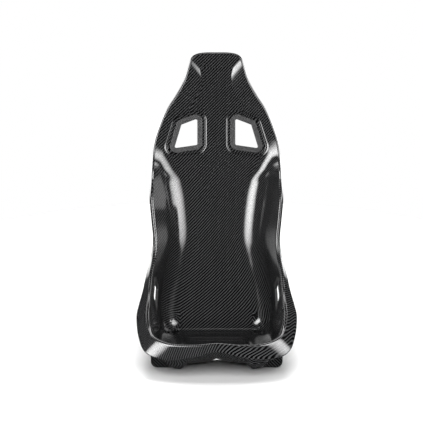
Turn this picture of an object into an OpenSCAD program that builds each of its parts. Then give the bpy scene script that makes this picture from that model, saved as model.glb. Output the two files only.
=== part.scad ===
// Bare composite bucket seat for motorsport: one laminated shell with harness openings,
// their two-part bezels, the strap trims and the side mounting pads with threaded inserts.
// The origin is the middle of the footprint, on the ground. +Z is up and the seat faces -Y.

/* [Shell] */
// Lean of the backrest from the vertical, in degrees
recline = 17; // [15:0.5:19]
// Thickness of the laminate
laminate = 3.5; // [2.5:0.5:4.5]
// Radius where the seat pan turns up into the backrest
hip_fillet = 45; // [35:1:55]
// Height of the arch under the middle of the seat pan
arch_rise = 20; // [10:1:24]

/* [Shoulder harness openings] */
// Corner radius of the opening
opening_r = 5; // [3:1:8]
// Width of the flat bezel bar around the opening
bezel_bar = 16; // [12:1:18]
// Thickness of the front bezel
bezel_t = 4.5; // [3.5:0.5:6]
// Thickness of the rear bezel
rear_bezel_t = 3.5; // [3:0.5:5]
// Depth of the moulded pocket that the bezel sits in
pocket_depth = 9; // [6:0.5:11]
// Clear margin between the bezel and the pocket wall
pocket_margin = 11; // [8:1:12]

/* [Lap and crotch strap openings] */
// Corner radius of the lap belt opening
lap_r = 8; // [6:1:10]
// Width of the trim flange around a strap opening
trim_flange = 9; // [6:1:11]
// Width of the crotch strap slot
crotch_w = 104; // [80:1:110]
// Front to back size of the crotch strap slot
crotch_l = 32; // [24:1:36]

/* [Side mounts] */
// Width of the seat across its two side mounting faces
mount_width = 392; // [392:1:396]
// Distance between the two threaded inserts of a side
mount_pitch = 220; // [190:1:225]
// Height of the threaded inserts above the ground
mount_height = 55; // [48:1:60]
// Outer diameter of a threaded insert
insert_d = 18; // [14:1:20]
// Diameter of the bore of a threaded insert, for an M8 bolt
insert_bore = 8; // [8:8]
// Length of a threaded insert
insert_len = 10; // [8:1:10]

/* [Hidden] */
$fn = 48;

EPS = 0.01;
LEFT = -1;
RIGHT = 1;

// ---- Centre line of the seat, in the plane x = 0 --------------------------------------------
// back(s, n) is the point at height s along the backrest line and n in front of that line,
// and the line starts on the ground at y = 0. The inner face of the flat base is at
// z = laminate. The hip fillet is tangent to both.
function back(s, n = 0) =
    [s * sin(recline) - n * cos(recline), s * cos(recline) + n * sin(recline)];

fillet_top = (laminate + hip_fillet * (1 - sin(recline))) / cos(recline);
fillet_centre = back(fillet_top, hip_fillet);
fillet_turn = 90 - recline;
fillet_arc = hip_fillet * fillet_turn * PI / 180;

// Lean of the inward normal from the vertical, at distance g along the centre line: positive
// up the backrest from the top of the fillet, negative down the fillet and along the pan
function normal_lean(g) =
    g >= 0 ? fillet_turn :
    -g <= fillet_arc ? fillet_turn + g / hip_fillet * 180 / PI : 0;

function spine(g) =
    let (a = normal_lean(g))
    g >= 0 ? back(fillet_top + g) :
    -g <= fillet_arc ? fillet_centre + hip_fillet * [sin(a), -cos(a)] :
    [fillet_centre.x + fillet_arc + g, laminate];

// ---- Cross-sections ---------------------------------------------------------------------------
// Each row is one half-section, from its foot on the centre line out to the rim:
//   foot  distance of the foot along the centre line
//   lean  direction in which the side rises, as a lean forward from the vertical
//   rim   half width, then side view point, of the crest of the rolled rim
//   curl  small upward turn of the floor, in degrees
//   wall  steepness of the side wall above the floor, in degrees
//   rc    radius between floor and wall
//   rr    radius of the rolled rim
//   turn  angle by which the rim band turns down past the crest
//   band  width of the rim band
// The rows run from the top of the headrest, down the side and round to the front lip.
SECTIONS = [
    // foot lean half-width  rim point  curl wall  rc  rr turn band
    [745, 73, 0, back(880,   8), 2, 10, 40, 5,  66,  10],
    [743, 73, 35, back(880,   8), 2, 10, 40, 5,  66,  10],
    [740, 73, 60, back(876,   8), 2, 10, 40, 5,  66,  10],
    [735, 73, 75, back(865,   8), 2, 10, 40, 5,  66,  10],
    [725, 73, 84, back(840,  10), 2, 10, 40, 5,  66,  10],
    [705, 73, 100, back(790,  10), 2, 10, 40, 5,  66,  10],
    [675, 73, 125, back(745,  10), 2, 10, 40, 5,  66,  10],
    [640, 73, 154, back(700,  12), 2, 10, 40, 5,  66,  10],
    [600, 73, 176, back(650,  14), 2, 11, 40, 5,  66,  10],
    [555, 73, 192, back(600,  16), 2, 16, 70, 5,  66,  10],
    [510, 73, 198, back(550,  22), 2, 28, 90, 5,  66,  10],
    [470, 73, 200, back(510,  48), 2, 46, 84, 5,  66,  10],
    [ 430,  73, 200, back(470,  88),  2,  60, 104,  5,  66,  10],
    [ 375,  73, 200, back(415, 115),  3,  62, 110,  6,  66,  10],
    [ 310,  72, 194, back(350, 124),  3,  62, 108,  6,  64,  10],
    [ 240,  69, 188, back(290, 132),  3,  65, 100,  6,  62,  11],
    [ 170,  64, 192, back(240, 150),  3,  72,  86,  7,  58,  13],
    [ 100,  58, 200, back(190, 188),  2,  80,  76,  7,  50,  18],
    [  40,  56, 203, back(145, 226),  2,  84,  72,  7,  42,  24],
    [ -20,  56, 205, back(100, 276),  1,  84,  64,  8,  36,  33],
    [ -85,  46, 206,    [-260, 162],  0,  83,  54,  8,  36,  38],
    [-165,  30, 203,    [-290, 145],  0,  82,  48,  9,  40,  40],
    [-220,  13, 196,    [-315, 132],  0,  79,  46, 10,  44,  42],
    [-250,   4, 185,    [-345, 122],  0,  72,  48, 10,  50,  45],
    [-265,   0, 165,    [-365, 116],  0,  62,  54, 10,  60,  45],
    [-275,   0, 125,    [-384, 112],  0,  54,  58, 10,  72,  40],
    [-282,   0,  65,    [-394, 114],  0,  51,  60, 10,  76,  28],
    [-285,   0,   0,    [-396, 120],  0,  50,  60, 10,  76,  16],
];
ROWS = [for (r = SECTIONS) [r[0], r[1], r[2], r[3].x, r[3].y, r[4], r[5], r[6], r[7], r[8], r[9]]];

// The same row on the other side of the seat
function mirrored(row) = [for (k = [0:len(row) - 1]) k == 2 ? -row[k] : row[k]];

// Smooth curve through the rows, at t from 0 to the number of the last row
function blend_row(t) =
    let (
        last = len(ROWS) - 1,
        i = min(floor(t), last - 1),
        f = t - i,
        b = ROWS[i],
        c = ROWS[i + 1],
        a = i > 0 ? ROWS[i - 1] : mirrored(ROWS[1]),
        d = i + 2 <= last ? ROWS[i + 2] : mirrored(ROWS[last - 1])
    )
    b + 0.5 * f * (c - a + f * (2 * a - 5 * b + 4 * c - d + f * (3 * (b - c) + d - a)));

// Points of an arc that starts at p with heading a0 and ends with heading a1
function arc(p, a0, a1, r, steps) =
    let (side = a1 > a0 ? 1 : -1)
    [for (k = [1:steps]) let (a = a0 + (a1 - a0) * k / steps)
        p + side * r * [sin(a) - sin(a0), cos(a0) - cos(a)]];
function line(p, step, steps) = [for (k = [1:steps]) p + step * k / steps];
function last(list) = list[len(list) - 1];

FLOOR_STEPS = 6;
CORNER_STEPS = 6;
WALL_STEPS = 2;
ROLL_STEPS = 4;
BAND_STEPS = 2;
MIN_CURL = 0.01;

// Half-section in its own plane: floor, corner, wall, rolled rim and band. The floor and wall
// lengths are what makes the crest of the rim land at width w and height d.
function profile(w, d, curl, wall, rc, rr, turn, band) =
    let (
        g = max(curl, MIN_CURL),
        g_rad = g * PI / 180,
        fx = sin(g) / g_rad,
        fy = (1 - cos(g)) / g_rad,
        want_x = w - rc * (sin(wall) - sin(g)) - rr * sin(wall),
        want_y = d - rc * (cos(g) - cos(wall)) - rr * (1 - cos(wall)),
        det = fx * sin(wall) - fy * cos(wall),
        floor_len = (want_x * sin(wall) - want_y * cos(wall)) / det,
        wall_len = (fx * want_y - fy * want_x) / det,
        p0 = [0, 0],
        p1 = arc(p0, 0, g, floor_len / g_rad, FLOOR_STEPS),
        p2 = arc(last(p1), g, wall, rc, CORNER_STEPS),
        p3 = line(last(p2), wall_len * [cos(wall), sin(wall)], WALL_STEPS),
        p4 = arc(last(p3), wall, -turn, rr, ROLL_STEPS),
        p5 = line(last(p4), band * [cos(turn), -sin(turn)], BAND_STEPS)
    )
    concat([p0], p1, p2, p3, p4, p5);

ARCH_HALF_W = 84;
ARCH_RAMP = 26;
ARCH_START = 50;
ARCH_FULL = 190;
ARCH_FADE = 70;
function smooth_step(v) = let (u = min(max(v, 0), 1)) u * u * (3 - 2 * u);

// Rise of the pan between the legs: nothing at the hips, full ahead of them, gone at the lip
function arch(p) =
    arch_rise * smooth_step((ARCH_HALF_W + ARCH_RAMP - abs(p.x)) / ARCH_RAMP)
    * smooth_step((-p.y - ARCH_START) / (ARCH_FULL - ARCH_START))
    * smooth_step(1 - (p.z - laminate) / ARCH_FADE);
function with_arch(p) = let (q = [p.x, p.y, max(p.z, laminate)]) q + [0, 0, arch(q)];

// Half-section in space
function section_points(row) =
    let (
        foot = spine(row[0]),
        a = normal_lean(row[0]),
        along = [-cos(a), -sin(a)],
        rise = [-sin(row[1]), cos(row[1])],
        gap = [row[3], row[4]] - foot,
        det = along.x * rise.y - along.y * rise.x,
        fore = (gap.x * rise.y - gap.y * rise.x) / det,
        d = (along.x * gap.y - along.y * gap.x) / det,
        w = norm([row[2], fore]),
        out = [row[2], fore * along.x, fore * along.y] / w,
        up = [0, rise.x, rise.y],
        base = [0, foot.x, foot.y]
    )
    [for (p = profile(w, d, row[5], row[6], row[7], row[8], row[9], row[10]))
        with_arch(base + p.x * out + p.y * up)];

SHELL_STEPS = 52;
SKIN = [for (i = [0:SHELL_STEPS]) section_points(blend_row((len(ROWS) - 1) * i / SHELL_STEPS))];
SIDE_STEPS = len(SKIN[0]) - 1;
function flip(p) = [-p.x, p.y, p.z];
function unit(v) = v / norm(v);

// Inward normal of the skin at a grid point; on the centre plane it has no sideways part
function skin_normal(i, j) =
    j == 0 ? let (a = normal_lean(blend_row((len(ROWS) - 1) * i / SHELL_STEPS)[0]))
        [0, -sin(a), cos(a)] :
    let (
        before = i > 0 ? SKIN[i - 1][j] : flip(SKIN[1][j]),
        after = i < SHELL_STEPS ? SKIN[i + 1][j] : flip(SKIN[SHELL_STEPS - 1][j]),
        inner = SKIN[i][j - 1],
        outer = SKIN[i][min(j + 1, SIDE_STEPS)],
        v = unit(cross(outer - inner, before - after))
    )
    i == 0 || i == SHELL_STEPS ? unit([0, v.y, v.z]) : v;
NORMALS = [for (i = [0:SHELL_STEPS]) [for (j = [0:SIDE_STEPS]) skin_normal(i, j)]];

// Solid between the skin moved by a and by b along its normal, over a range of the grid
module layer(a, b, i0 = 0, i1 = SHELL_STEPS, j0 = 0, j1 = SIDE_STEPS) {
    m = j1 - j0 + 1;
    n = i1 - i0 + 1;
    side = function (d) [for (i = [i0:i1]) for (j = [j0:j1]) SKIN[i][j] + d * NORMALS[i][j]];
    at = function (i, j, k) k * m * n + i * m + j;
    quad = function (p, q, r, s) [[r, q, p], [s, r, p]];
    faces = [
        for (i = [0:n - 2]) for (j = [0:m - 2]) each concat(
            quad(at(i, j, 0), at(i + 1, j, 0), at(i + 1, j + 1, 0), at(i, j + 1, 0)),
            quad(at(i, j, 1), at(i, j + 1, 1), at(i + 1, j + 1, 1), at(i + 1, j, 1))),
        for (i = [0:n - 2]) each concat(
            quad(at(i, 0, 0), at(i, 0, 1), at(i + 1, 0, 1), at(i + 1, 0, 0)),
            quad(at(i, m - 1, 0), at(i + 1, m - 1, 0), at(i + 1, m - 1, 1), at(i, m - 1, 1))),
        for (j = [0:m - 2]) each concat(
            quad(at(0, j, 0), at(0, j + 1, 0), at(0, j + 1, 1), at(0, j, 1)),
            quad(at(n - 1, j, 0), at(n - 1, j, 1), at(n - 1, j + 1, 1), at(n - 1, j + 1, 0))),
    ];
    polyhedron(points = concat(side(a), side(b)), faces = faces);
}

// ---- Shared placing and outlines --------------------------------------------------------------
// Moves the model so that its footprint is centred on the origin
REAR_SKIN = [for (i = [0:SHELL_STEPS]) for (j = [0:SIDE_STEPS]) SKIN[i][j] - laminate * NORMALS[i][j]];
ALL_Y = concat([for (p = REAR_SKIN) p.y], [for (r = SKIN) for (p = r) p.y]);
CENTRE_Y = -(min(ALL_Y) + max(ALL_Y)) / 2;
module placed() { translate([0, CENTRE_Y, 0]) children(); }

module both_sides() {
    children();
    mirror([1, 0, 0]) children();
}
module on_side(side) { mirror([side == LEFT ? 1 : 0, 0, 0]) children(); }

// x across, y up along the backrest, z out of it towards the occupant
module in_back() { rotate([90 - recline, 0, 0]) children(); }

// x rearwards, y up, z outwards from the centre plane towards +X
module from_side() { rotate([90, 0, 90]) children(); }

// Convex outline around corner centres, listed clockwise, at radius r
function outline(centres, r, steps = 8) =
    let (
        n = len(centres),
        edge_angle = function (a, b) atan2(b.y - a.y, b.x - a.x) + 90
    )
    [for (k = [0:n - 1]) let (
        a0 = edge_angle(centres[(k + n - 1) % n], centres[k]),
        a1 = edge_angle(centres[k], centres[(k + 1) % n]),
        span = a1 > a0 ? a1 - a0 - 360 : a1 - a0
    ) for (m = [0:steps]) centres[k] + r * [cos(a0 + span * m / steps), sin(a0 + span * m / steps)]];
module slab(centres, r, z0, z1) {
    translate([0, 0, z0]) linear_extrude(z1 - z0) polygon(outline(centres, r));
}
// The same shape as a hull of round posts
module post_slab(centres, r, z0, z1) {
    hull() for (c = centres) translate([c.x, c.y, z0]) cylinder(h = z1 - z0, r = r, $fn = 32);
}

// Midpoints of the edges and of the corners of an outline at radius r
function ring_places(centres, r) =
    let (n = len(centres), mid = outline(centres, r, 2))
    concat(
        [for (k = [0:n - 1]) mid[3 * k + 1]],
        [(mid[3 * n - 1] + mid[0]) / 2, (mid[2] + mid[3]) / 2]);

// ---- Shoulder harness openings ------------------------------------------------------------------
HARNESS = [[66, 596], [66, 669], [108, 653], [128, 587]];
SLEEVE_WALL = 2.5;
SCREW_D = 4;
SCREW_HEAD_D = 7;
SCREW_HEAD_T = 2.2;
SCREW_CLEAR = 0.4;
SCREW_BITE = 2.5;
sleeve_r = opening_r + SLEEVE_WALL;
bezel_r = opening_r + bezel_bar;
pocket_r = bezel_r + pocket_margin;
rear_bezel_r = bezel_r - 3;
screw_ring_r = (sleeve_r + rear_bezel_r) / 2;
tray_front = -pocket_depth;
tray_back = tray_front - laminate;
rear_bezel_back = tray_back - rear_bezel_t;
screw_places = ring_places(HARNESS, screw_ring_r);

module shoulder_bezel(side) {
    color("dimgray") placed() on_side(side) in_back() difference() {
        union() {
            slab(HARNESS, bezel_r, tray_front, tray_front + bezel_t);
            slab(HARNESS, sleeve_r, rear_bezel_back, tray_front + EPS);
        }
        slab(HARNESS, opening_r, rear_bezel_back - 1, tray_front + bezel_t + 1);
        for (p = screw_places) translate([p.x, p.y, tray_front - 1])
            cylinder(h = 1 + SCREW_BITE, d = SCREW_D);
    }
}
module shoulder_bezel_rear(side) {
    color("dimgray") placed() on_side(side) in_back() difference() {
        slab(HARNESS, rear_bezel_r, rear_bezel_back, tray_back);
        slab(HARNESS, sleeve_r, rear_bezel_back - 1, tray_back + 1);
        for (p = screw_places) translate([p.x, p.y, rear_bezel_back - 1])
            cylinder(h = rear_bezel_t + 2, d = SCREW_D);
    }
}
module screw(from, to) {
    translate([0, 0, from]) cylinder(h = to - from, d = SCREW_D);
    translate([0, 0, from - SCREW_HEAD_T]) cylinder(h = SCREW_HEAD_T + EPS, d = SCREW_HEAD_D);
}
module shoulder_screws(side) {
    color("silver") placed() on_side(side) in_back()
        for (p = screw_places) translate([p.x, p.y, 0])
            screw(rear_bezel_back, tray_front + SCREW_BITE);
}

// ---- Lap belt openings ---------------------------------------------------------------------------
// Corner centres of the opening in side view, as [y, z]
LAP = [[-122, 127], [-146, 168], [-104, 199], [-76, 166]];
TRIM_T = 2;
LAP_ROWS = [30, 41];
LAP_COLUMNS = [8, FLOOR_STEPS + CORNER_STEPS + WALL_STEPS];
LAP_INNER_X = 130;
LAP_OUTER_X = 230;
module lap_prism(r) { from_side() post_slab(LAP, r, LAP_INNER_X, LAP_OUTER_X); }
module side_wall(a, b) {
    layer(a, b, LAP_ROWS[0], LAP_ROWS[1], LAP_COLUMNS[0], LAP_COLUMNS[1]);
}
module lap_trim(side) {
    color("dimgray") placed() on_side(side) difference() {
        intersection() {
            side_wall(TRIM_T, -laminate - TRIM_T);
            lap_prism(lap_r + trim_flange);
        }
        lap_prism(lap_r - SLEEVE_WALL);
        difference() {
            side_wall(0, -laminate);
            lap_prism(lap_r);
        }
    }
}

// ---- Crotch strap slot ---------------------------------------------------------------------------
CROTCH_Y = -222;
CROTCH_R = 8;
CROTCH = let (x = crotch_w / 2 - CROTCH_R, y = crotch_l / 2 - CROTCH_R)
    [for (p = [[-x, -y], [-x, y], [x, y], [x, -y]]) p + [0, CROTCH_Y]];
CROTCH_TRIM_T = 3;
crotch_top = laminate + arch_rise;
crotch_under = crotch_top - laminate;
crotch_screw_places = outline(CROTCH, CROTCH_R + trim_flange / 2, 2);
CROTCH_SCREWS = [1, 4, 7, 10];

module crotch_trim_upper() {
    color("dimgray") placed() difference() {
        union() {
            slab(CROTCH, CROTCH_R + trim_flange, crotch_top, crotch_top + CROTCH_TRIM_T);
            slab(CROTCH, CROTCH_R, crotch_under - CROTCH_TRIM_T, crotch_top + EPS);
        }
        slab(CROTCH, CROTCH_R - SLEEVE_WALL, 0, crotch_top + CROTCH_TRIM_T + 1);
        for (k = CROTCH_SCREWS) translate([crotch_screw_places[k].x, crotch_screw_places[k].y, 0])
            cylinder(h = crotch_top + SCREW_BITE - 1, d = SCREW_D);
    }
}
module crotch_trim_lower() {
    color("dimgray") placed() difference() {
        slab(CROTCH, CROTCH_R + trim_flange, crotch_under - CROTCH_TRIM_T, crotch_under);
        slab(CROTCH, CROTCH_R, 0, crotch_top);
        for (k = CROTCH_SCREWS) translate([crotch_screw_places[k].x, crotch_screw_places[k].y, 0])
            cylinder(h = crotch_top, d = SCREW_D);
    }
}
module crotch_screws() {
    color("silver") placed() for (k = CROTCH_SCREWS)
        translate([crotch_screw_places[k].x, crotch_screw_places[k].y, 0])
            screw(crotch_under - CROTCH_TRIM_T, crotch_top + SCREW_BITE - 1);
}

// ---- Side mounting pads ---------------------------------------------------------------------------
MOUNT_MID_Y = -155;
PAD_INNER_X = 120;
PAD_TOP = 96;
PAD_OVERHANG = 34;
PAD_LOW_R = 20;
PAD_HIGH_R = 10;
PAD_ROWS = [27, 49];
PAD_COLUMNS = [4, FLOOR_STEPS + CORNER_STEPS + WALL_STEPS];
PAD_REACH = 75;
pad_x = mount_width / 2;
pad_len = mount_pitch + 2 * PAD_OVERHANG;
mount_ys = [MOUNT_MID_Y - mount_pitch / 2, MOUNT_MID_Y + mount_pitch / 2];

// Bar along Y with a rounded outer face, in the section of its four edges
module pad_bar() {
    edges = [[pad_x - PAD_LOW_R, PAD_LOW_R, PAD_LOW_R], [pad_x - PAD_HIGH_R, PAD_TOP - PAD_HIGH_R, PAD_HIGH_R]];
    translate([0, MOUNT_MID_Y + pad_len / 2, 0]) rotate([90, 0, 0]) hull() {
        for (e = edges) translate([e.x, e.y, 0]) cylinder(h = pad_len, r = e.z, $fn = 32);
        translate([PAD_INNER_X, 0, 0]) cube([1, PAD_TOP, pad_len]);
    }
}
module insert_bores(d, len) {
    for (y = mount_ys) translate([pad_x, y, mount_height]) rotate([0, -90, 0])
        translate([0, 0, -1]) cylinder(h = len + 1, d = d);
}
// The bores for the inserts run through the pad, and the shell closes them on the inside
module side_pad(side) {
    color("dimgray") placed() on_side(side) difference() {
        intersection() {
            pad_bar();
            layer(-laminate, -PAD_REACH, PAD_ROWS[0], PAD_ROWS[1], PAD_COLUMNS[0], PAD_COLUMNS[1]);
        }
        insert_bores(insert_d, pad_x - PAD_INNER_X + 1);
    }
}
module mount_inserts(side) {
    color("silver") placed() on_side(side) difference() {
        for (y = mount_ys) translate([pad_x, y, mount_height]) rotate([0, -90, 0])
            cylinder(h = insert_len, d = insert_d);
        insert_bores(insert_bore, insert_len + 1);
    }
}

// ---- Shell -------------------------------------------------------------------------------------------
POCKET_ROWS = [10, 24];
POCKET_COLUMNS = [0, FLOOR_STEPS + CORNER_STEPS + WALL_STEPS];
POCKET_LAYER = 30;
TRAY_FRONT = 17;

// Recessed tray around a harness opening, trimmed flush with the front of the skin
module tray() {
    intersection() {
        in_back() difference() {
            post_slab(HARNESS, pocket_r + laminate, tray_back, TRAY_FRONT);
            post_slab(HARNESS, pocket_r, tray_front, TRAY_FRONT + 1);
        }
        layer(0, -POCKET_LAYER, POCKET_ROWS[0], POCKET_ROWS[1], POCKET_COLUMNS[0], POCKET_COLUMNS[1]);
    }
}
module shell() {
    color("black") placed() difference() {
        both_sides() union() {
            difference() {
                layer(0, -laminate);
                in_back() post_slab(HARNESS, pocket_r, tray_back - 1, TRAY_FRONT);
            }
            tray();
        }
        both_sides() {
            in_back() post_slab(HARNESS, sleeve_r, tray_back - 1, 0);
            in_back() for (p = screw_places) translate([p.x, p.y, tray_back - 1])
                cylinder(h = laminate + 2, d = SCREW_D + SCREW_CLEAR, $fn = 24);
            lap_prism(lap_r);
        }
        post_slab(CROTCH, CROTCH_R, -1, crotch_top + 1);
        for (k = CROTCH_SCREWS) translate([crotch_screw_places[k].x, crotch_screw_places[k].y, 0])
            cylinder(h = crotch_top + 1, d = SCREW_D + SCREW_CLEAR, $fn = 24);
    }
}

shell();
shoulder_bezel(LEFT);  // shoulder_bezel_left
shoulder_bezel(RIGHT);  // shoulder_bezel_right
shoulder_bezel_rear(LEFT);  // shoulder_bezel_rear_left
shoulder_bezel_rear(RIGHT);  // shoulder_bezel_rear_right
shoulder_screws(LEFT);  // shoulder_screws_left
shoulder_screws(RIGHT);  // shoulder_screws_right
lap_trim(LEFT);  // lap_trim_left
lap_trim(RIGHT);  // lap_trim_right
crotch_trim_upper();
crotch_trim_lower();
crotch_screws();
side_pad(LEFT);  // side_pad_left
side_pad(RIGHT);  // side_pad_right
mount_inserts(LEFT);  // mount_inserts_left
mount_inserts(RIGHT);  // mount_inserts_right
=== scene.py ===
"""Racing seat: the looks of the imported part. Design geometry is in millimetres, objects in metres."""
import math

import bpy
import numpy as np
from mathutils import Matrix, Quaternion, Vector


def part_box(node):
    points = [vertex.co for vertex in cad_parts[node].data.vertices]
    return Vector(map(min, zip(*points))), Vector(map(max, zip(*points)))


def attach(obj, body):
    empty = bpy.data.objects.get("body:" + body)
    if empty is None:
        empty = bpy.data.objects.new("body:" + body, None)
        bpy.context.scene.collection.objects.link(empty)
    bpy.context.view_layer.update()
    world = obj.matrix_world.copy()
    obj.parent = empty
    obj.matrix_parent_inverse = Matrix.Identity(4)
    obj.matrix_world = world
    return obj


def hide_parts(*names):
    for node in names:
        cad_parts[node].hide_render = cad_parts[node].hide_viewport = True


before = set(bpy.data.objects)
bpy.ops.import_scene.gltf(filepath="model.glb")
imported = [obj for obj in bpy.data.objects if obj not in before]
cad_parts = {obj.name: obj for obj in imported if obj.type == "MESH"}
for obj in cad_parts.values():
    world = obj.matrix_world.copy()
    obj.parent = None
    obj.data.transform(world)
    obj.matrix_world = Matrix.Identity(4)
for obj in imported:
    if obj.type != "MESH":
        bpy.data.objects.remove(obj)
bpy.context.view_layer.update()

# ---- Sizes of the seat, in millimetres and degrees ---------------------------------------------------
RECLINE = math.radians(17)
LAMINATE = 3.5
EDGE_THICKNESS = 2.2
HIP_FILLET = 45.0
ARCH_RISE, ARCH_HALF_W, ARCH_RAMP = 20.0, 84.0, 26.0
ARCH_START, ARCH_FULL, ARCH_FADE = 50.0, 190.0, 70.0
EDGE_RETURN_R, EDGE_RETURN_TURN, EDGE_RETURN_LIP = 3.0, 60.0, 1.0
MOUNT_MID_Y = -155.0
MOUNT_PITCH, MOUNT_HEIGHT, MOUNT_X = 220.0, 55.0, 196.0
INSERT_LEN, INSERT_R, BORE_R = 10.0, 9.0, 4.0

HARNESS = [[66, 596], [66, 669], [108, 653], [128, 587]]
OPENING_R, SLEEVE_R, BEZEL_R, POCKET_R, REAR_BEZEL_R = 5.0, 7.5, 21.0, 32.0, 18.0
TRAY_FRONT, TRAY_BACK, REAR_BEZEL_BACK, BEZEL_FRONT = -9.0, -12.5, -16.0, -4.5
POCKET_CUT = 39.5
POCKET_TOP_R, POCKET_FOOT_R, POCKET_TOP_N, POCKET_FOOT_N = 3.0, 3.0, 8, 6
LAP = [[-122, 127], [-146, 168], [-104, 199], [-76, 166]]
LAP_R, TRIM_SLEEVE, TRIM_FLANGE, TRIM_T = 8.0, 2.5, 9.0, 2.0
CROTCH_Y, CROTCH_R = -222.0, 8.0
CROTCH = [[x, y + CROTCH_Y] for x, y in ((-44, -8), (-44, 8), (44, 8), (44, -8))]
CROTCH_TOP, CROTCH_TRIM_T = 23.5, 3.0
SCREW_HEAD_R, SCREW_HEAD_T = 3.5, 2.2
CUT_REACH, LAP_MIN_X, LAP_SECTIONS = 60.0, 130.0, (15, 22)

CENTRE_Y = 500 * sum(corner.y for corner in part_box("mount_inserts_right")) - MOUNT_MID_Y


def back(s, n=0.0):
    """Point (y, z) at height s along the backrest line and n in front of it."""
    return s * math.sin(RECLINE) - n * math.cos(RECLINE), s * math.cos(RECLINE) + n * math.sin(RECLINE)


# Cross-sections: foot, lean, half width, rim point, curl, wall, corner radius, roll radius, turn, band
SECTIONS = [
    [745, 73, 0, back(880, 8), 2, 10, 40, 5, 66, 10],
    [743, 73, 35, back(880, 8), 2, 10, 40, 5, 66, 10],
    [740, 73, 60, back(876, 8), 2, 10, 40, 5, 66, 10],
    [735, 73, 75, back(865, 8), 2, 10, 40, 5, 66, 10],
    [725, 73, 84, back(840, 10), 2, 10, 40, 5, 66, 10],
    [705, 73, 100, back(790, 10), 2, 10, 40, 5, 66, 10],
    [675, 73, 125, back(745, 10), 2, 10, 40, 5, 66, 10],
    [640, 73, 154, back(700, 12), 2, 10, 40, 5, 66, 10],
    [600, 73, 176, back(650, 14), 2, 11, 40, 5, 66, 10],
    [555, 73, 192, back(600, 16), 2, 16, 70, 5, 66, 10],
    [510, 73, 198, back(550, 22), 2, 28, 90, 5, 66, 10],
    [470, 73, 200, back(510, 48), 2, 46, 84, 5, 66, 10],
    [430, 73, 200, back(470, 88), 2, 60, 104, 5, 66, 10],
    [375, 73, 200, back(415, 115), 3, 62, 110, 6, 66, 10],
    [310, 72, 194, back(350, 124), 3, 62, 108, 6, 64, 10],
    [240, 69, 188, back(290, 132), 3, 65, 100, 6, 62, 11],
    [170, 64, 192, back(240, 150), 3, 72, 86, 7, 58, 13],
    [100, 58, 200, back(190, 188), 2, 80, 76, 7, 50, 18],
    [40, 56, 203, back(145, 226), 2, 84, 72, 7, 42, 24],
    [-20, 56, 205, back(100, 276), 1, 84, 64, 8, 36, 33],
    [-85, 46, 206, (-260, 162), 0, 83, 54, 8, 36, 38],
    [-165, 30, 203, (-290, 145), 0, 82, 48, 9, 40, 40],
    [-220, 13, 196, (-315, 132), 0, 79, 46, 10, 44, 42],
    [-250, 4, 185, (-345, 122), 0, 72, 48, 10, 50, 45],
    [-265, 0, 165, (-365, 116), 0, 62, 54, 10, 60, 45],
    [-275, 0, 125, (-384, 112), 0, 54, 58, 10, 72, 40],
    [-282, 0, 65, (-394, 114), 0, 51, 60, 10, 76, 28],
    [-285, 0, 0, (-396, 120), 0, 50, 60, 10, 76, 16],
]
ROWS = np.array([r[:3] + list(r[3]) + r[4:] for r in SECTIONS], float)
STEPS_PER_ROW = 12
FLOOR_N, CORNER_N, WALL_N, ROLL_N, BAND_N, RETURN_N, LIP_N = 20, 22, 12, 8, 5, 6, 1


# ---- The shell's surface -----------------------------------------------------------------------------
def blended_rows():
    """Smooth curve through the cross-sections, mirrored past both ends."""
    flip = np.ones(ROWS.shape[1])
    flip[2] = -1
    table = np.vstack([ROWS[1] * flip, ROWS, ROWS[-2] * flip])
    t = np.arange((len(ROWS) - 1) * STEPS_PER_ROW + 1) / STEPS_PER_ROW
    i = np.minimum(t.astype(int), len(ROWS) - 2)
    f = (t - i)[:, None]
    a, b, c, d = (table[i + k] for k in range(4))
    return b + 0.5 * f * (c - a + f * (2 * a - 5 * b + 4 * c - d + f * (3 * (b - c) + d - a)))


FILLET_TOP = (LAMINATE + HIP_FILLET * (1 - math.sin(RECLINE))) / math.cos(RECLINE)
FILLET_CENTRE = np.array(back(FILLET_TOP, HIP_FILLET))
FILLET_TURN = math.pi / 2 - RECLINE
FILLET_ARC = HIP_FILLET * FILLET_TURN


def spine(g):
    """Points (y, z) of the centre line at distance g, and the lean of the normal there."""
    lean = np.where(g >= 0, FILLET_TURN, np.maximum(FILLET_TURN + g / HIP_FILLET, 0))
    up = np.stack(back(FILLET_TOP + g), -1)
    turn = FILLET_CENTRE + HIP_FILLET * np.stack([np.sin(lean), -np.cos(lean)], -1)
    flat = np.stack([FILLET_CENTRE[0] + FILLET_ARC + g, np.full_like(g, LAMINATE)], -1)
    points = np.where((g >= 0)[:, None], up, np.where((-g <= FILLET_ARC)[:, None], turn, flat))
    return points, lean


def arc_steps(start, a0, a1, radius, steps):
    """Points of an arc from start, heading a0 to a1, one row of points for each section."""
    out = []
    side = np.sign(a1 - a0)
    for k in range(1, steps + 1):
        a = a0 + (a1 - a0) * k / steps
        out.append(start + (side * radius)[:, None]
                   * np.stack([np.sin(a) - np.sin(a0), np.cos(a0) - np.cos(a)], -1))
    return out


def line_steps(start, heading, length, steps):
    way = np.stack([np.cos(heading), np.sin(heading)], -1)
    return [start + way * (length * k / steps)[:, None] for k in range(1, steps + 1)]


def smooth_step(v):
    u = np.clip(v, 0, 1)
    return u * u * (3 - 2 * u)


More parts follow.
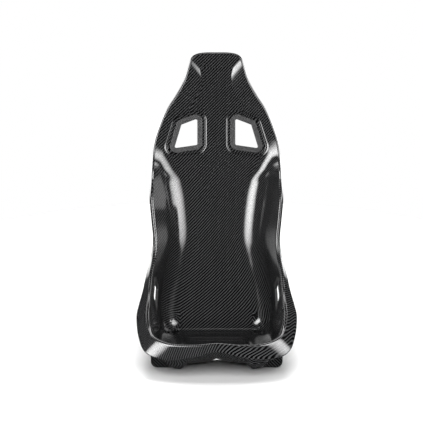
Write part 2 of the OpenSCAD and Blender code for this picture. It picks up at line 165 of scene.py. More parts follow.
def surface_grid():
    """Skin points (rows, columns, 3) of the right half, and what the cloth layout starts from."""
    rows = blended_rows()
    foot_at, lean_deg, half, rim_y, rim_z, curl, wall, corner_r, roll_r, turn, band = rows.T
    foot, lean = spine(foot_at)
    along = np.stack([-np.cos(lean), -np.sin(lean)], -1)
    tilt = np.radians(lean_deg)
    rise = np.stack([-np.sin(tilt), np.cos(tilt)], -1)
    gap = np.stack([rim_y, rim_z], -1) - foot
    det = along[:, 0] * rise[:, 1] - along[:, 1] * rise[:, 0]
    fore = (gap[:, 0] * rise[:, 1] - gap[:, 1] * rise[:, 0]) / det
    depth = (along[:, 0] * gap[:, 1] - along[:, 1] * gap[:, 0]) / det
    width = np.hypot(half, fore)
    out = np.stack([half, fore * along[:, 0], fore * along[:, 1]], -1) / width[:, None]
    up = np.stack([np.zeros_like(half), rise[:, 0], rise[:, 1]], -1)
    base = np.stack([np.zeros_like(half), foot[:, 0], foot[:, 1]], -1)

    g, a, b = np.radians(np.maximum(curl, 0.01)), np.radians(wall), np.radians(turn)
    fx, fy = np.sin(g) / g, (1 - np.cos(g)) / g
    want_x = width - corner_r * (np.sin(a) - np.sin(g)) - roll_r * np.sin(a)
    want_y = depth - corner_r * (np.cos(g) - np.cos(a)) - roll_r * (1 - np.cos(a))
    det = fx * np.sin(a) - fy * np.cos(a)
    floor_len = (want_x * np.sin(a) - want_y * np.cos(a)) / det
    wall_len = (fx * want_y - fy * want_x) / det
    parts = [np.zeros((len(rows), 2))]
    parts += arc_steps(parts[-1], 0 * g, g, floor_len / g, FLOOR_N)
    parts += arc_steps(parts[-1], g, a, corner_r, CORNER_N)
    parts += line_steps(parts[-1], a, wall_len, WALL_N)
    parts += arc_steps(parts[-1], a, -b, roll_r, ROLL_N)
    parts += line_steps(parts[-1], -b, band - EDGE_RETURN_R, BAND_N)
    end = -b - math.radians(EDGE_RETURN_TURN)
    parts += arc_steps(parts[-1], -b, end, np.full_like(b, EDGE_RETURN_R), RETURN_N)
    parts += line_steps(parts[-1], end, np.full_like(b, EDGE_RETURN_LIP), LIP_N)
    flat = np.stack(parts, 1)
    points = base[:, None] + flat[..., :1] * out[:, None] + flat[..., 1:] * up[:, None]
    points[..., 2] = np.maximum(points[..., 2], LAMINATE)
    points[..., 2] += (ARCH_RISE * smooth_step((ARCH_HALF_W + ARCH_RAMP - abs(points[..., 0])) / ARCH_RAMP)
                       * smooth_step((-points[..., 1] - ARCH_START) / (ARCH_FULL - ARCH_START))
                       * smooth_step(1 - (points[..., 2] - LAMINATE) / ARCH_FADE))
    return points, foot_at, np.arctan2(fore, half)


def unit(v):
    return v / np.maximum(np.linalg.norm(v, axis=-1, keepdims=True), 1e-12)


FLIP = np.array([-1.0, 1.0, 1.0])


def grid_normals(points):
    """Normals towards the occupant, smooth across the mirror plane."""
    before = np.concatenate([points[1:2] * FLIP, points[:-1]])
    after = np.concatenate([points[1:], points[-2:-1] * FLIP])
    inner = np.concatenate([points[:, 1:2] * FLIP, points[:, :-1]], 1)
    outer = np.concatenate([points[:, 1:], points[:, -1:]], 1)
    normals = unit(np.cross(outer - inner, before - after))
    normals[[0, -1], :, 0] = 0
    normals[:, 0, 0] = 0
    return unit(normals)


def cloth_layout(points, foot_at, angle, rounds=1500):
    """Flat cloth coordinates (mm) of the grid, relaxed until lengths on the cloth match the surface."""
    ii = np.unique(np.r_[np.arange(0, points.shape[0], 4), points.shape[0] - 1])
    jj = np.unique(np.r_[np.arange(0, points.shape[1], 3), points.shape[1] - 1])
    p = points[np.ix_(ii, jj)]
    length = np.concatenate([np.zeros((len(ii), 1)),
                             np.cumsum(np.linalg.norm(np.diff(p, axis=1), axis=-1), 1)], 1)
    w = np.stack([length * np.cos(angle[ii])[:, None],
                  foot_at[ii][:, None] - length * np.sin(angle[ii])[:, None]], -1)
    pairs = [((slice(None), slice(1, None)), (slice(None), slice(None, -1)), 1.0),
             ((slice(1, None), slice(None)), (slice(None, -1), slice(None)), 1.0),
             ((slice(1, None), slice(1, None)), (slice(None, -1), slice(None, -1)), 0.5),
             ((slice(1, None), slice(None, -1)), (slice(None, -1), slice(1, None)), 0.5)]
    rest = [np.linalg.norm(p[a] - p[b], axis=-1) for a, b, _ in pairs]
    count = np.zeros(w.shape[:2])
    for a, b, k in pairs:
        count[a] += k
        count[b] += k
    for _ in range(rounds):
        move = np.zeros_like(w)
        for (a, b, k), length in zip(pairs, rest):
            gap = w[a] - w[b]
            now = np.maximum(np.linalg.norm(gap, axis=-1), 1e-6)
            push = (0.5 * k * (length - now) / now)[..., None] * gap
            move[a] += push
            move[b] -= push
        w += 1.6 * move / count[..., None]
        w[:, 0, 0] = 0
        w[[0, -1], :, 0] = 0
    rows, cols = np.arange(points.shape[0]), np.arange(points.shape[1])
    out = np.empty(points.shape[:2] + (2,))
    for c in range(2):
        across = np.stack([np.interp(cols, jj, r) for r in w[..., c]])
        out[..., c] = np.stack([np.interp(rows, ii, across[:, k]) for k in range(len(cols))], 1)
    return out


# ---- Helpers for outlines and meshes -----------------------------------------------------------------
def nearest_on(centres, q):
    """Distance from points q to the convex outline of centres (negative inside), and its direction."""
    c = np.array(centres, float)
    best = np.full(len(q), np.inf)
    at = np.zeros_like(q)
    inside = np.ones(len(q), bool)
    middle = c.mean(0)
    for p0, p1 in zip(c, np.roll(c, -1, 0)):
        e = p1 - p0
        k = np.clip(((q - p0) @ e) / (e @ e), 0, 1)
        near = p0 + k[:, None] * e
        d = np.linalg.norm(q - near, axis=1)
        closer = d < best
        best[closer], at[closer] = d[closer], near[closer]
        normal = np.array([e[1], -e[0]])
        if (middle - p0) @ normal > 0:
            normal = -normal
        inside &= (q - p0) @ normal < 0
    way = unit(q - at)
    return np.where(inside, -best, best), at, way


def to_back(p):
    """(x, s, n) of points in the backrest's frame."""
    y, z = p[..., 1], p[..., 2]
    return np.stack([p[..., 0], y * math.sin(RECLINE) + z * math.cos(RECLINE),
                     z * math.sin(RECLINE) - y * math.cos(RECLINE)], -1)


def from_back(q):
    x, s, n = q[..., 0], q[..., 1], q[..., 2]
    return np.stack([x, s * math.sin(RECLINE) - n * math.cos(RECLINE),
                     s * math.cos(RECLINE) + n * math.sin(RECLINE)], -1)


def placed(points):
    return (np.asarray(points) + [0, CENTRE_Y, 0]) / 1000


def finish_piece(obj, material, nodes):
    """Gives a piece its material and slot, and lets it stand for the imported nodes."""
    obj.data.materials.append(material)
    bpy.context.scene.collection.objects.link(obj)
    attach(obj, "root")
    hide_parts(*nodes)


def mesh_object(name, points, faces, corner_normals, cloth=None):
    """Object from points in design millimetres, faces, and one normal for each face corner."""
    mesh = bpy.data.meshes.new(name)
    mesh.from_pydata(placed(points).tolist(), [], faces)
    mesh.polygons.foreach_set("use_smooth", np.ones(len(mesh.polygons), bool))
    if cloth is not None:
        layer = mesh.attributes.new("weave", "FLOAT_VECTOR", "POINT")
        layer.data.foreach_set("vector", (np.c_[cloth, np.zeros(len(cloth))] / 1000).ravel())
    mesh.normals_split_custom_set(corner_normals.tolist())
    return bpy.data.objects.new(name, mesh)


class Builder:
    """Collects points, normals and faces of one half, then mirrors them over x = 0."""

    def __init__(self):
        self.points, self.normals, self.cloth = [], [], []
        self.faces, self.face_normals = [], []
        self.count = 0

    def add(self, points, normals, cloth):
        first = self.count
        self.points.append(points)
        self.normals.append(normals)
        self.cloth.append(cloth)
        self.count += len(points)
        return np.arange(first, self.count)

    def face(self, ring, normals=None):
        """A face; without its own normals it takes those of its points."""
        self.faces.append([int(k) for k in ring])
        self.face_normals.append(normals)

    def build(self, name):
        p, n, c = (np.concatenate(x) for x in (self.points, self.normals, self.cloth))
        mirror = np.arange(len(p)) + len(p)
        on_plane = abs(p[:, 0]) < 1e-6
        mirror[on_plane] = np.arange(len(p))[on_plane]
        faces, normals = [], []
        for ring, own in zip(self.faces, self.face_normals):
            own = n[ring] if own is None else np.asarray(own)
            faces.append(ring)
            normals.append(own)
            faces.append([int(mirror[k]) for k in reversed(ring)])
            normals.append(own[::-1] * FLIP)
        used = np.unique(np.concatenate([np.array(f) for f in faces]))
        renumber = np.full(2 * len(p), -1)
        renumber[used] = np.arange(len(used))
        faces = [renumber[f].tolist() for f in faces]
        both = np.concatenate([p, p * FLIP])[used]
        cloth = np.concatenate([c, c * [-1, 1]])[used]
        return mesh_object(name, both, faces, np.concatenate(normals), cloth)


def cut(faces, phi, points, normals, cloth, thick):
    """Cuts away where phi is below 0. Returns the faces left, the grown arrays and the cut edges."""
    new, made, edges = [], {}, []
    for ring in faces:
        value = phi[ring]
        if (value > 0).all():
            new.append(ring)
            continue
        if (value <= 0).all():
            continue
        kept, leave, enter = [], None, None
        for a, b in zip(ring, ring[1:] + ring[:1]):
            if phi[a] > 0:
                kept.append(a)
            if (phi[a] > 0) != (phi[b] > 0):
                key = (min(a, b), max(a, b))
                if key not in made:
                    made[key] = len(points) + len(made)
                if phi[a] > 0:
                    leave = made[key]
                else:
                    enter = made[key]
                kept.append(made[key])
        new.append(kept)
        edges.append((leave, enter))
    if made:
        a, b = np.array(list(made)).T
        k = (phi[a] / (phi[a] - phi[b]))[:, None]

        def with_cuts(v):
            return np.concatenate([v, v[a] * (1 - k) + v[b] * k])
        points, cloth, thick = with_cuts(points), with_cuts(cloth), with_cuts(thick[:, None])[:, 0]
        normals = unit(with_cuts(normals))
    return new, points, normals, cloth, thick, edges


def pocket_profile(distance, level, slope, bottom, wall_at):
    """(distance, level) stations from the cut edge down into the tray, or on the rear out onto it."""
    ctrl = level + slope * (wall_at - distance)
    roll_end = ctrl - POCKET_TOP_R
    out = []
    for k in range(1, POCKET_TOP_N + 1):
        t = k / POCKET_TOP_N
        out.append(((1 - t) ** 2 * distance + 2 * t * (1 - t) * wall_at + t * t * wall_at,
                    (1 - t) ** 2 * level + 2 * t * (1 - t) * ctrl + t * t * roll_end))
    foot_top = bottom + POCKET_FOOT_R
    out.append((wall_at, foot_top + (roll_end - foot_top) * 0.5))
    for k in range(POCKET_FOOT_N + 1):
        a = math.pi / 2 * k / POCKET_FOOT_N
        out.append((wall_at - POCKET_FOOT_R * (1 - np.cos(a)), foot_top - POCKET_FOOT_R * np.sin(a)))
    out.append((np.full_like(distance, BEZEL_R - 1), np.full_like(distance, bottom)))
    out.append((np.full_like(distance, SLEEVE_R), np.full_like(distance, bottom)))
    return [(np.broadcast_to(d, distance.shape), np.broadcast_to(h, distance.shape)) for d, h in out]


def add_pocket_side(builder, start, edges, ids, points, normals, cloth, rear):
    """Rings from a cut edge to the sleeve hole, on the front or on the rear of the shell."""
    q = to_back(points[ids])
    normal = to_back(normals[ids])
    phi, at, way = nearest_on(HARNESS, q[:, :2])
    slope = -(normal[:, 0] * way[:, 0] + normal[:, 1] * way[:, 1]) / normal[:, 2]
    wall, bottom = (POCKET_R + LAMINATE, TRAY_BACK) if rear else (POCKET_R, TRAY_FRONT)
    stations = pocket_profile(phi, q[:, 2], slope, bottom, wall)
    where = {int(v): k for k, v in enumerate(ids)}
    before = np.array([start[int(v)] for v in ids])
    last_d, last_h, run = phi, q[:, 2], np.zeros(len(ids))
    rings = [before]
    for k, (d, h) in enumerate(stations):
        nd, nh = stations[min(k + 1, len(stations) - 1)]
        pd, ph = (phi, q[:, 2]) if k == 0 else stations[k - 1]
        td, th = unit(np.stack([nd - pd, nh - ph], -1)).T
        facing = np.stack([way[:, 0] * th, way[:, 1] * th, -td], -1) * (-1 if rear else 1)
        run = run + np.hypot(d - last_d, h - last_h)
        last_d, last_h = d, h
        spot = from_back(np.concatenate([at + way * d[:, None], h[:, None]], 1))
        rings.append(builder.add(spot, unit(from_back(facing)), cloth[ids] - way * run[:, None]))
    for a, b in edges:
        ka, kb = where[a], where[b]
        for r0, r1 in zip(rings, rings[1:]):
            ring = [r0[kb], r0[ka], r1[ka], r1[kb]]
            builder.face(ring[::-1] if rear else ring)
    return rings[-1], where


def build_shell(material):
    grid, foot_at, angle = surface_grid()
    normals = grid_normals(grid)
    layout = cloth_layout(grid, foot_at, angle)
    rows, cols = grid.shape[:2]
    taper = np.r_[np.zeros(FLOOR_N + CORNER_N + WALL_N + ROLL_N + 1), np.linspace(0, 1, BAND_N + 1)[1:],
                  np.ones(RETURN_N + LIP_N)]
    thick = np.broadcast_to(LAMINATE + (EDGE_THICKNESS - LAMINATE) * taper, (rows, cols)).ravel().copy()
    index = np.arange(rows * cols).reshape(rows, cols)
    quads = np.stack([index[:-1, :-1], index[:-1, 1:], index[1:, 1:], index[1:, :-1]], -1).reshape(-1, 4)
    p, n, w = grid.reshape(-1, 3), normals.reshape(-1, 3), layout.reshape(-1, 2)
    mid = quads[len(quads) // 2 + 10]
    if np.dot(np.cross(p[mid[1]] - p[mid[0]], p[mid[3]] - p[mid[0]]), n[mid[0]]) < 0:
        quads = quads[:, ::-1]
    faces = quads.tolist()

    def outline_of(points, kind):
        if kind == "pocket":
            q = to_back(points)
            phi = nearest_on(HARNESS, q[:, :2])[0] - POCKET_CUT
            return np.where((q[:, 2] < CUT_REACH) & (q[:, 0] > 10), phi, 1.0)
        if kind == "lap":
            phi = nearest_on(LAP, points[:, 1:])[0] - LAP_R
            return np.where(points[:, 0] > LAP_MIN_X, phi, 1.0)
        phi = nearest_on(CROTCH, points[:, :2])[0] - CROTCH_R
        return np.where(points[:, 2] < CUT_REACH, phi, 1.0)

    found = {}
    for kind in ("pocket", "lap", "crotch"):
        faces, p, n, w, thick, found[kind] = cut(faces, outline_of(p, kind), p, n, w, thick)

    builder = Builder()
    front = builder.add(p, n, w)
    rear_points = p - thick[:, None] * n
    rear = builder.add(rear_points, -n, w)
    for ring in faces:
        builder.face(front[ring])
        builder.face(rear[ring][::-1])
    for a, b in zip(index[:-1, -1], index[1:, -1]):
        ring = [front[a], front[b], rear[b], rear[a]]
        here = unit(np.cross(p[b] - p[a], n[a]))
        out = unit(p[a] - p[a - 1])
        if here @ out < 0:
            here = -here
        face = np.cross(p[b] - p[a], rear_points[b] - p[a])
        builder.face(ring if face @ out > 0 else ring[::-1], np.tile(here, (4, 1)))
    for kind in ("lap", "crotch"):
        for a, b in found[kind]:
            inward = unit(np.cross(n[a], p[b] - p[a]))
            builder.face([front[b], front[a], rear[a], rear[b]], np.tile(-inward, (4, 1)))
    edges = found["pocket"]
    ids = np.array(sorted({k for e in edges for k in e}))
    from_front, from_rear = ({int(k): int(side[k]) for k in ids} for side in (front, rear))
    fore, where = add_pocket_side(builder, from_front, edges, ids, p, n, w, False)
    aft, _ = add_pocket_side(builder, from_rear, edges, ids, rear_points, n, w, True)
    for a, b in edges:
        builder.face([fore[where[b]], fore[where[a]], aft[where[a]], aft[where[b]]])
    shell = builder.build("shell_carbon")
    finish_piece(shell, material, ["shell"])
    return grid, normals


# ---- Rings: bezels and trims -------------------------------------------------------------------------
def rounded_profile(corners, steps=4):
    """Closed profile [(distance, level, normal)] from corners (distance, level, radius), anticlockwise."""
    out = []
    for k, (x, y, r) in enumerate(corners):
        here = np.array([x, y], float)
        a = unit(np.array(corners[k - 1][:2], float) - here)
        b = unit(np.array(corners[(k + 1) % len(corners)][:2], float) - here)
        n0, n1 = np.array([-a[1], a[0]]), np.array([b[1], -b[0]])
        reach = r * math.tan((math.pi - math.acos(np.clip(a @ b, -1, 1))) / 2)
        centre = here + a * reach - n0 * r * (1 if n0 @ b < 0 else -1)
        convex = n0 @ b < 0
        for m in range(steps + 1):
            t = m / steps
            normal = unit(n0 * (1 - t) + n1 * t)
            out.append((centre + normal * r * (1 if convex else -1), normal))
    return out


def ring_directions(centres, steps=10):
    """Base points on the outline of centres, and the outward directions, all the way round."""
    c = np.array(centres, float)
    if sum((b[0] - a[0]) * (b[1] + a[1]) for a, b in zip(c, np.roll(c, -1, 0))) < 0:
        c = c[::-1]
    base, way = [], []
    for k in range(len(c)):
        e0, e1 = c[k] - c[k - 1], c[(k + 1) % len(c)] - c[k]
        a0, a1 = (math.atan2(e[1], e[0]) + math.pi / 2 for e in (e0, e1))
        span = a1 - a0 - (2 * math.pi if a1 > a0 else 0)
        for m in range(steps + 1):
            a = a0 + span * m / steps
            base.append(c[k])
            way.append([math.cos(a), math.sin(a)])
    return np.array(base), np.array(way)


def ring_object(name, centres, corners, locate, sides=(1,)):
    """Closed ring of a rounded profile round an outline. locate(base, way, distance, level) gives
    the points, the direction of distance and the direction of level."""
    profile = rounded_profile(corners)
    base, way = ring_directions(centres)
    m, n = len(base), len(profile)
    points, normals = [], []
    for spot, normal in profile:
        p, d3, l3 = locate(base, way, spot[0], spot[1])
        points.append(p)
        normals.append(unit(d3 * normal[0] + l3 * normal[1]))
    points, normals = np.stack(points), np.stack(normals)
    all_points, faces, corner_normals = [], [], []
    for side in sides:
        sign = np.array([side, 1, 1])
        first = sum(len(x) for x in all_points)
        all_points.append((points * sign).reshape(-1, 3))
        for i in range(n):
            for j in range(m):
                i1, j1 = (i + 1) % n, (j + 1) % m
                ring = [(i, j), (i, j1), (i1, j1), (i1, j)]
                v = [points[a] for a in ring]
                face = np.cross(v[2] - v[0], v[3] - v[1])
                if face @ sum(normals[a] for a in ring) < 0:
                    ring = ring[::-1]
                if side < 0:
                    ring = ring[::-1]
                faces.append([first + a * m + b for a, b in ring])
                corner_normals += [normals[a] * sign for a in ring]
    return mesh_object(name, np.concatenate(all_points), faces, np.array(corner_normals))


def in_back_plane(base, way, distance, level):
    flat = base + way * distance
    points = from_back(np.c_[flat, np.full(len(flat), level)])
    return points, from_back(np.c_[way, np.zeros(len(way))]), \
        np.tile(from_back(np.array([0.0, 0, 1])), (len(way), 1))


def in_pan_plane(base, way, distance, level):
    flat = base + way * distance
    return np.c_[flat, np.full(len(flat), level)], np.c_[way, np.zeros(len(way))], \
        np.tile([0.0, 0, 1], (len(way), 1))


def on_side_wall(grid, normals):
    """locate() for the inner face of the side wall, found from its side view (y, z)."""
    lo = FLOOR_N + CORNER_N // 2
    hi = FLOOR_N + CORNER_N + WALL_N
    r0, r1 = LAP_SECTIONS[0] * STEPS_PER_ROW, LAP_SECTIONS[1] * STEPS_PER_ROW
    g, nn = grid[r0:r1, lo:hi], normals[r0:r1, lo:hi]

    def sample(field, ij):
        i = np.clip(ij[:, 0], 0, field.shape[0] - 1.001)
        j = np.clip(ij[:, 1], 0, field.shape[1] - 1.001)
        a, b = i.astype(int), j.astype(int)
        u, v = (i - a)[:, None], (j - b)[:, None]
        return (field[a, b] * (1 - u) * (1 - v) + field[a + 1, b] * u * (1 - v)
                + field[a, b + 1] * (1 - u) * v + field[a + 1, b + 1] * u * v)

    def locate(base, way, distance, level):
        want = base + way * distance
        flat = g[..., 1:].reshape(-1, 2)
        near = np.argmin(((flat[None] - want[:, None]) ** 2).sum(-1), 1)
        ij = np.stack([near // g.shape[1], near % g.shape[1]], -1).astype(float)
        for _ in range(8):
            now = sample(g, ij)[:, 1:]
            di = sample(g, ij + [0.5, 0])[:, 1:] - sample(g, ij - [0.5, 0])[:, 1:]
            dj = sample(g, ij + [0, 0.5])[:, 1:] - sample(g, ij - [0, 0.5])[:, 1:]
            miss = want - now
            det = di[:, 0] * dj[:, 1] - di[:, 1] * dj[:, 0]
            det = np.where(abs(det) < 1e-9, 1e-9, det)
            step = np.stack([(miss[:, 0] * dj[:, 1] - miss[:, 1] * dj[:, 0]) / det,
                             (di[:, 0] * miss[:, 1] - di[:, 1] * miss[:, 0]) / det], -1)
            ij = ij + np.clip(step, -6, 6)
        p, n = sample(g, ij), unit(sample(nn, ij))
        d3 = np.c_[-(n[:, 1] * way[:, 0] + n[:, 2] * way[:, 1]) / n[:, 0], way]
        return p + n * level, unit(d3), n
    return locate


# ---- Turned parts: screws and inserts ----------------------------------------------------------------
def turned_object(name, stations, places, segments=36):
    """Turned pieces. stations are (radius, height, hexagonal or not), places are (point, axis)."""
    angle = np.arange(segments) * 2 * math.pi / segments
    hexagon = 1 / np.cos((angle + math.pi / 6) % (math.pi / 3) - math.pi / 6)
    points, faces = [], []
    for spot, axis in places:
        axis = unit(np.array(axis, float))
        u = unit(np.cross(axis, [0.0, 1.0, 0.0] if abs(axis[1]) < 0.9 else [1.0, 0, 0]))
        v = np.cross(axis, u)
        first = sum(len(x) for x in points)
        for radius, height, hexed in stations:
            r = radius * (hexagon if hexed else 1)
            points.append(np.asarray(spot) + (np.cos(angle) * r)[:, None] * u
                          + (np.sin(angle) * r)[:, None] * v + axis * height)
        for i in range(len(stations) - 1):
            for j in range(segments):
                k = (j + 1) % segments
                a, b = first + i * segments, first + (i + 1) * segments
                faces.append([a + j, b + j, b + k, a + k])
        faces.append([first + j for j in range(segments)])
        faces.append([first + (len(stations) - 1) * segments + j for j in reversed(range(segments))])
    mesh = bpy.data.meshes.new(name)
    mesh.from_pydata(placed(np.concatenate(points)).tolist(), [], faces)
    mesh.polygons.foreach_set("use_smooth", np.ones(len(mesh.polygons), bool))
    mesh.validate()
    mesh.update()
    mesh.set_sharp_from_angle(angle=math.radians(32))
    return bpy.data.objects.new(name, mesh)


# Shank end, shank, head underside, rim, dome, hexagonal socket and its floor
SCREW = [(1.6, 9.0, 0), (2.0, 8.6, 0), (2.0, 0.0, 0), (SCREW_HEAD_R - 0.1, 0.0, 0), (SCREW_HEAD_R, -0.25, 0),
         (SCREW_HEAD_R, -0.8, 0), (3.3, -1.25, 0), (2.9, -1.75, 0), (2.3, -2.1, 0), (1.75, -SCREW_HEAD_T, 0),
         (1.3, -SCREW_HEAD_T, 1), (1.25, -SCREW_HEAD_T + 0.12, 1), (1.25, -0.9, 1), (0.3, -0.8, 0)]


def screw_stations(shank):
    """The screw with a shank of another length."""
    return [(r, shank - 9.0 + h if h > 1 else h, x) for r, h, x in SCREW]


def insert_stations():
    """Threaded insert: back, outside, chamfered face, countersink and a bore with thread crests."""
    out = [(BORE_R + 0.2, -INSERT_LEN, 0), (INSERT_R - 0.4, -INSERT_LEN, 0), (INSERT_R, -INSERT_LEN + 0.4, 0),
           (INSERT_R, -0.5, 0), (INSERT_R - 0.5, 0.0, 0), (BORE_R + 0.9, 0.0, 0)]
    for k in range(7):
        depth = 0.9 + k * 1.25
        out += [(BORE_R, -depth, 0), (BORE_R + 0.45, -depth - 0.6, 0)]
    return out + [(BORE_R, -INSERT_LEN, 0)]


def ring_places(centres, r):
    """Middle of each corner, then of the two longest sides, r outside the outline of centres."""
    base, way = ring_directions(centres, 2)
    mid = base + way * r
    n = len(centres)
    found = [mid[3 * k + 1] for k in range(n)]
    longest = sorted(range(n), key=lambda k: -np.linalg.norm(mid[3 * k] - mid[3 * k - 1]))[:2]
    return found + [(mid[3 * k] + mid[3 * k - 1]) / 2 for k in longest]


# ---- Materials ---------------------------------------------------------------------------------------
class Nodes:
    """Small helper around a material's node tree."""

    def __init__(self, name):
        self.material = bpy.data.materials.new(name)
        self.material.use_nodes = True
        self.tree = self.material.node_tree
        self.tree.nodes.clear()
        self.out = self.tree.nodes.new("ShaderNodeOutputMaterial")

    def node(self, kind, **settings):
        n = self.tree.nodes.new(kind)
        for key, value in settings.items():
            setattr(n, key, value)
        return n

    def link(self, a, b):
        self.tree.links.new(a, b)

    def math(self, op, a, b=0.0, c=None):
        n = self.node("ShaderNodeMath", operation=op)
        for k, v in enumerate((a, b, c)):
            if v is None:
                continue
            if isinstance(v, (int, float)):
                n.inputs[k].default_value = v
            else:
                self.link(v, n.inputs[k])
        return n.outputs[0]

    def mix(self, factor, a, b):
        """Linear mix of two numbers."""
        return self.math("ADD", a, self.math("MULTIPLY", factor, self.math("SUBTRACT", b, a)))

    def noise(self, vector, scale, detail=2.0, roughness=0.5):
        n = self.node("ShaderNodeTexNoise")
        n.inputs["Scale"].default_value = scale
        n.inputs["Detail"].default_value = detail
        n.inputs["Roughness"].default_value = roughness
        self.link(vector, n.inputs["Vector"])
        return n.outputs["Fac"]

    def vector(self, x, y, z):
        n = self.node("ShaderNodeCombineXYZ")
        for k, v in enumerate((x, y, z)):
            if isinstance(v, (int, float)):
                n.inputs[k].default_value = v
            else:
                self.link(v, n.inputs[k])
        return n.outputs[0]

    def grey(self, value, warm=1.0, cool=1.0):
        n = self.node("ShaderNodeCombineColor")
        self.link(self.math("MULTIPLY", value, warm), n.inputs[0])
        self.link(value, n.inputs[1])
        self.link(self.math("MULTIPLY", value, cool), n.inputs[2])
        return n.outputs[0]

    def bump(self, height, distance, strength=1.0):
        n = self.node("ShaderNodeBump")
        n.inputs["Strength"].default_value = strength
        n.inputs["Distance"].default_value = distance
        self.link(height, n.inputs["Height"])
        return n.outputs["Normal"]

    def glow(self, strength):
        """White emission as the surface; strength is a number or a socket."""
        n = self.node("ShaderNodeEmission")
        n.inputs["Color"].default_value = (1, 1, 1, 1)
        if isinstance(strength, (int, float)):
            n.inputs["Strength"].default_value = strength
        else:
            self.link(strength, n.inputs["Strength"])
        self.link(n.outputs[0], self.out.inputs["Surface"])

    def shader(self, **constants):
        n = self.node("ShaderNodeBsdfPrincipled")
        for key, value in constants.items():
            n.inputs[key.replace("_", " ")].default_value = value
        self.link(n.outputs[0], self.out.inputs["Surface"])
        return n


TOW = 0.0025
# Painted sheen: warp floats are painted lighter than the weft, standing in for the fibres' reflection of the
# lights.
WARP_PAINTED_SHEEN, WEFT_TONE = 0.066, 0.0003
# Painted shade: the side pads' carbon is painted this much darker, as they sit in the shadow under the seat.
PAD_PAINTED_SHADE = 0.3


def carbon_material(name, coordinates, depth=1.0):
    """Clear-coated 2x2 twill with painted light in its colour: warp floats are painted lighter than the weft
    (painted sheen) and each tow is painted darker towards its edges (painted shade). coordinates is "weave"
    (laid along the cloth) or "object".
    depth scales the tone down, as painted shade for parts that sit in shadow."""
    m = Nodes(name)
    split = m.node("ShaderNodeSeparateXYZ")
    if coordinates == "weave":
        m.link(m.node("ShaderNodeAttribute", attribute_name="weave").outputs["Vector"], split.inputs[0])
        u, v = split.outputs[0], split.outputs[1]
    else:
        m.link(m.node("ShaderNodeTexCoord").outputs["Object"], split.inputs[0])
        u, v = split.outputs[1], m.math("ADD", split.outputs[2], split.outputs[0])
    u, v = m.math("DIVIDE", u, TOW), m.math("DIVIDE", v, TOW)
    iu, iv = m.math("FLOOR", u), m.math("FLOOR", v)
    fu, fv = m.math("FRACT", u), m.math("FRACT", v)
    k = m.math("FLOORED_MODULO", m.math("SUBTRACT", iu, iv), 4.0)
    warp = m.math("LESS_THAN", k, 1.5)

    def hump(x):
        c = m.math("MULTIPLY_ADD", x, 2.0, -1.0)
        return m.math("SUBTRACT", 1.0, m.math("MULTIPLY", c, c))
    across = m.mix(warp, hump(fv), hump(fu))
    warp_run = m.math("MULTIPLY", m.math("ADD", m.math("SUBTRACT", 1.0, k), fv), 0.5)
    weft_run = m.math("MULTIPLY", m.math("ADD", m.math("SUBTRACT", k, 2.0), fu), 0.5)
    run = hump(m.mix(warp, weft_run, warp_run))
    height = m.math("ADD", m.math("MULTIPLY", across, 0.55), m.math("MULTIPLY", run, 0.45))
    fibre = m.mix(warp, m.noise(m.vector(m.math("MULTIPLY", u, 0.35), m.math("MULTIPLY", v, 7.0), 0.0), 1.0),
                  m.noise(m.vector(m.math("MULTIPLY", u, 7.0), m.math("MULTIPLY", v, 0.35), 3.0), 1.0))
    tow = m.node("ShaderNodeTexWhiteNoise", noise_dimensions="2D")
    m.link(m.vector(m.mix(warp, iv, iu), warp, 0.0), tow.inputs["Vector"])
    # Random fibre streaks and per-tow tone, the cloth's own, times the painted tow-edge shade below.
    shade = m.math("MULTIPLY", m.math("MULTIPLY_ADD", fibre, 0.5, 0.75),
                   m.math("MULTIPLY_ADD", tow.outputs["Value"], 0.24, 0.88))
    # Painted shade: each tow is painted darker towards its edges from its height profile, in place of the
    # shading of its rounded form.
    shade = m.math("MULTIPLY", shade, m.math("MULTIPLY_ADD", m.math("POWER", height, 2.5), 1.0, 0.1))
    # Base colour: warp painted lighter than weft (painted sheen), times the random streaks and the painted
    # tow-edge shade; depth scales it down as painted shade.
    tone = m.math("MULTIPLY", m.mix(warp, WEFT_TONE * depth, WARP_PAINTED_SHEEN * depth), shade)
    bsdf = m.shader(Metallic=0.0, Specular_IOR_Level=0.0, Coat_Weight=1.0, Coat_Roughness=0.11, Coat_IOR=1.5)
    m.link(m.grey(tone, 0.99, 1.03), bsdf.inputs["Base Color"])
    m.link(m.math("MULTIPLY_ADD", fibre, 0.16, m.mix(warp, 0.42, 0.30)), bsdf.inputs["Roughness"])
    m.link(m.bump(height, 0.00012), bsdf.inputs["Normal"])
    peel = m.noise(m.node("ShaderNodeTexCoord").outputs["Object"], 55.0, 1.0)
    m.link(m.bump(peel, 0.0001, 0.25), bsdf.inputs["Coat Normal"])
    return m.material


def plastic_material(name, tone, roughness):
    """Moulded plastic with a fine grain and faint handling marks."""
    m = Nodes(name)
    where = m.node("ShaderNodeTexCoord").outputs["Object"]
    grain, cloud = m.noise(where, 2600.0, 3.0), m.noise(where, 45.0, 3.0)
    bsdf = m.shader(Specular_IOR_Level=0.4)
    m.link(m.grey(m.math("MULTIPLY", tone, m.math("MULTIPLY_ADD", cloud, 0.5, 0.75)), 1.0, 1.02),
           bsdf.inputs["Base Color"])
    m.link(m.math("MULTIPLY_ADD", cloud, 0.16, roughness - 0.08), bsdf.inputs["Roughness"])
    m.link(m.bump(grain, 0.00008, 0.6), bsdf.inputs["Normal"])
    return m.material


